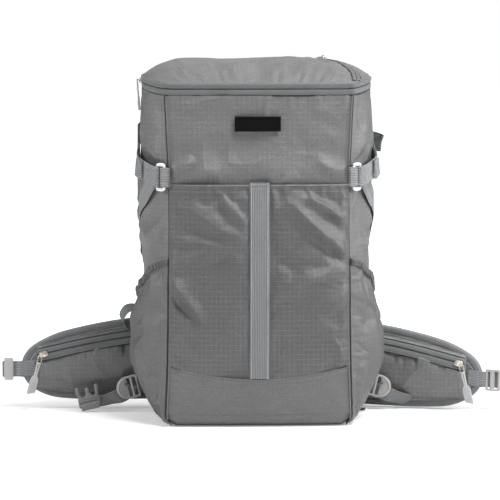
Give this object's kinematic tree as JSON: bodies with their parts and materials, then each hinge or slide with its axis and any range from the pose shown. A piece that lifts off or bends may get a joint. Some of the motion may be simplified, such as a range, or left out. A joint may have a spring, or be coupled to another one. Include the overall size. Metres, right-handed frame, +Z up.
{
  "type": "daypack",
  "caption": "Grey ripstop hiking daypack with a domed zip lid, front and side pockets, side compression straps and a padded hip belt with zipped pockets.",
  "frame": {"origin": "centre of the base panel's underside, on the ground", "axes": "+Z up, front faces -Y, +X to the right as seen from the front, along the two hip wings"},
  "size_m": [0.6656, 0.2504, 0.4724],
  "materials": {
    "ripstop": "coated ripstop, satin",
    "webbing": "ribbed grosgrain webbing",
    "trim": "coated zip tape and binding",
    "elastic": "ruched elastic",
    "foam_mesh": "spacer mesh over foam",
    "grey_plastic": "moulded acetal, satin",
    "white_plastic": "moulded acetal",
    "label_rubber": "moulded rubber patch, blank",
    "sheet_plastic": "extruded sheet",
    "nickel": "tumbled nickel plate",
    "pull_rubber": "moulded pull"
  },
  "bodies": {
    "pack": {"front_panel": "ripstop", "side_panel_right": "ripstop", "side_panel_left": "ripstop", "back_panel": "ripstop", "frame_sheet": "sheet_plastic", "base_panel": "ripstop", "front_pocket": "ripstop", "front_strap": "webbing", "side_pocket_right": "ripstop", "side_pocket_left": "ripstop", "pocket_hem_right": "elastic", "pocket_hem_left": "elastic", "label_patch": "label_rubber", "zip_band_lower": "trim", "compression_loop_right": "webbing", "compression_loop_left": "webbing", "compression_strap_right": "webbing", "compression_strap_left": "webbing", "stabiliser_web_right": "webbing", "stabiliser_web_left": "webbing", "gear_loop": "webbing", "back_pad_right": "foam_mesh", "back_pad_left": "foam_mesh", "lumbar_pad": "foam_mesh"},
    "lid": {"lid_shell": "ripstop", "zip_band_upper": "trim", "lid_pocket_zip": "trim"},
    "lid_slider": {"lid_slider": "nickel"},
    "lid_pull": {"lid_pull": "pull_rubber"},
    "main_slider_front": {"main_slider_front": "nickel"},
    "main_slider_rear": {"main_slider_rear": "nickel"},
    "haul_loop": {"haul_loop": "webbing"},
    "compression_hook_right": {"compression_hook_right": "white_plastic"},
    "side_lock_right": {"side_lock_right": "grey_plastic"},
    "shoulder_strap_right": {"shoulder_pad_right": "foam_mesh", "shoulder_lock_right": "grey_plastic", "shoulder_web_right": "webbing"},
    "load_lifter_right": {"load_lifter_right": "webbing"},
    "sternum_half_right": {"sternum_half_right": "webbing"},
    "hip_wing_right": {"hip_wing_right": "foam_mesh", "hip_pocket_right": "ripstop", "hip_tip_web_right": "webbing"},
    "hip_slider_right": {"hip_slider_right": "nickel"},
    "hip_pull_right": {"hip_pull_right": "pull_rubber"},
    "hip_keeper_right": {"hip_keeper_right": "grey_plastic"},
    "compression_hook_left": {"compression_hook_left": "white_plastic"},
    "side_lock_left": {"side_lock_left": "grey_plastic"},
    "shoulder_strap_left": {"shoulder_pad_left": "foam_mesh", "shoulder_lock_left": "grey_plastic", "shoulder_web_left": "webbing"},
    "load_lifter_left": {"load_lifter_left": "webbing"},
    "sternum_half_left": {"sternum_half_left": "webbing"},
    "hip_wing_left": {"hip_wing_left": "foam_mesh", "hip_pocket_left": "ripstop", "hip_tip_web_left": "webbing"},
    "hip_slider_left": {"hip_slider_left": "nickel"},
    "hip_pull_left": {"hip_pull_left": "pull_rubber"},
    "hip_keeper_left": {"hip_keeper_left": "grey_plastic"},
    "hip_buckle_male": {"hip_buckle_male": "grey_plastic"},
    "hip_buckle_female": {"hip_buckle_female": "grey_plastic"}
  },
  "joints": [
    {"name": "lid_opening", "type": "hinge", "parent": "pack", "child": "lid", "pos_m": [0, 0.095, 0.4475], "axis": [-1, 0, 0], "range_deg": [0, 105]},
    {"name": "lid_slider_travel", "type": "slide", "parent": "lid", "child": "lid_slider", "axis": [0.3072, -0.9409, 0.1424], "range_m": [0, 0.041]},
    {"name": "lid_pull_swing", "type": "hinge", "parent": "lid_slider", "child": "lid_pull", "pos_m": [0.08847, 0.05424, 0.46934], "axis": [0.951, 0.3091, 0], "range_deg": [0, 100]},
    {"name": "main_slider_front_travel", "type": "slide", "parent": "pack", "child": "main_slider_front", "axis": [0, -1, 0], "range_m": [0, 0.06]},
    {"name": "main_slider_rear_travel", "type": "slide", "parent": "pack", "child": "main_slider_rear", "axis": [0, 1, 0], "range_m": [0, 0.014]},
    {"name": "haul_loop_lift", "type": "hinge", "parent": "pack", "child": "haul_loop", "pos_m": [0, 0.0975, 0.4335], "axis": [1, 0, 0], "range_deg": [0, 60]},
    {"name": "compression_hook_right_swing", "type": "hinge", "parent": "pack", "child": "compression_hook_right", "pos_m": [0.11869, -0.0918, 0.321], "axis": [0, 0, 1], "range_deg": [-4, 4]},
    {"name": "compression_hook_left_swing", "type": "hinge", "parent": "pack", "child": "compression_hook_left", "pos_m": [-0.11869, -0.0918, 0.321], "axis": [0, 0, -1], "range_deg": [-4, 4]},
    {"name": "side_lock_right_swing", "type": "hinge", "parent": "pack", "child": "side_lock_right", "pos_m": [0.155, 0.062, 0.033], "axis": [-0.2331, 0.047, -0.9713], "range_deg": [0, 25]},
    {"name": "side_lock_left_swing", "type": "hinge", "parent": "pack", "child": "side_lock_left", "pos_m": [-0.155, 0.062, 0.033], "axis": [-0.2331, -0.047, 0.9713], "range_deg": [0, 25]},
    {"name": "shoulder_strap_right_swing", "type": "hinge", "parent": "pack", "child": "shoulder_strap_right", "pos_m": [0.047, 0.104, 0.408], "axis": [1, 0, 0], "range_deg": [0, 40]},
    {"name": "shoulder_strap_left_swing", "type": "hinge", "parent": "pack", "child": "shoulder_strap_left", "pos_m": [-0.047, 0.104, 0.408], "axis": [1, 0, 0], "range_deg": [0, 40]},
    {"name": "load_lifter_right_swing", "type": "hinge", "parent": "pack", "child": "load_lifter_right", "pos_m": [0.06, 0.097, 0.428], "axis": [1, 0, 0], "range_deg": [0, 26]},
    {"name": "load_lifter_left_swing", "type": "hinge", "parent": "pack", "child": "load_lifter_left", "pos_m": [-0.06, 0.097, 0.428], "axis": [1, 0, 0], "range_deg": [0, 26]},
    {"name": "sternum_half_right_travel", "type": "slide", "parent": "shoulder_strap_right", "child": "sternum_half_right", "axis": [-0.2495, 0, 0.9684], "range_m": [-0.03, 0.03]},
    {"name": "sternum_half_left_travel", "type": "slide", "parent": "shoulder_strap_left", "child": "sternum_half_left", "axis": [0.2495, 0, 0.9684], "range_m": [-0.03, 0.03]},
    {"name": "hip_wing_right_swing", "type": "hinge", "parent": "pack", "child": "hip_wing_right", "pos_m": [0.136, 0.104, 0.06], "axis": [0, 0, 1], "range_deg": [0, 75]},
    {"name": "hip_wing_left_swing", "type": "hinge", "parent": "pack", "child": "hip_wing_left", "pos_m": [-0.136, 0.104, 0.06], "axis": [0, 0, -1], "range_deg": [0, 75]},
    {"name": "hip_slider_right_travel", "type": "slide", "parent": "hip_wing_right", "child": "hip_slider_right", "axis": [-0.941, 0.2713, 0.2024], "range_m": [0, 0.086]},
    {"name": "hip_slider_left_travel", "type": "slide", "parent": "hip_wing_left", "child": "hip_slider_left", "axis": [0.9827, 0.0515, 0.1777], "range_m": [0, 0.1289]},
    {"name": "hip_pull_right_swing", "type": "hinge", "parent": "hip_slider_right", "child": "hip_pull_right", "pos_m": [0.27293, 0.03457, 0.06034], "axis": [0.2755, 0.9613, -0.0072], "range_deg": [-30, 30]},
    {"name": "hip_pull_left_swing", "type": "hinge", "parent": "hip_slider_left", "child": "hip_pull_left", "pos_m": [-0.28325, 0.06674, 0.0719], "axis": [-0.0523, 0.9986, 0], "range_deg": [-30, 30]},
    {"name": "hip_keeper_right_travel", "type": "slide", "parent": "hip_wing_right", "child": "hip_keeper_right", "axis": [0.9609, -0.2756, -0.0252], "range_m": [-0.003, 0.0012]},
    {"name": "hip_keeper_left_travel", "type": "slide", "parent": "hip_wing_left", "child": "hip_keeper_left", "axis": [-0.9986, -0.0523, 0], "range_m": [-0.003, 0.0012]},
    {"name": "hip_buckle_male_swing", "type": "hinge", "parent": "hip_wing_left", "child": "hip_buckle_male", "pos_m": [-0.22119, 0.05948, 0.0122], "axis": [0.9753, 0.0511, -0.2149], "range_deg": [0, 35]},
    {"name": "hip_buckle_female_swing", "type": "hinge", "parent": "hip_wing_right", "child": "hip_buckle_female", "pos_m": [0.20387, 0.10174, 0.06525], "axis": [0.9609, -0.2756, -0.0252], "range_deg": [0, 60]}
  ],
  "couplings": [
    {"joint": "load_lifter_right_swing", "follows": "shoulder_strap_right_swing", "ratio": 0.62},
    {"joint": "load_lifter_left_swing", "follows": "shoulder_strap_left_swing", "ratio": 0.62}
  ]
}
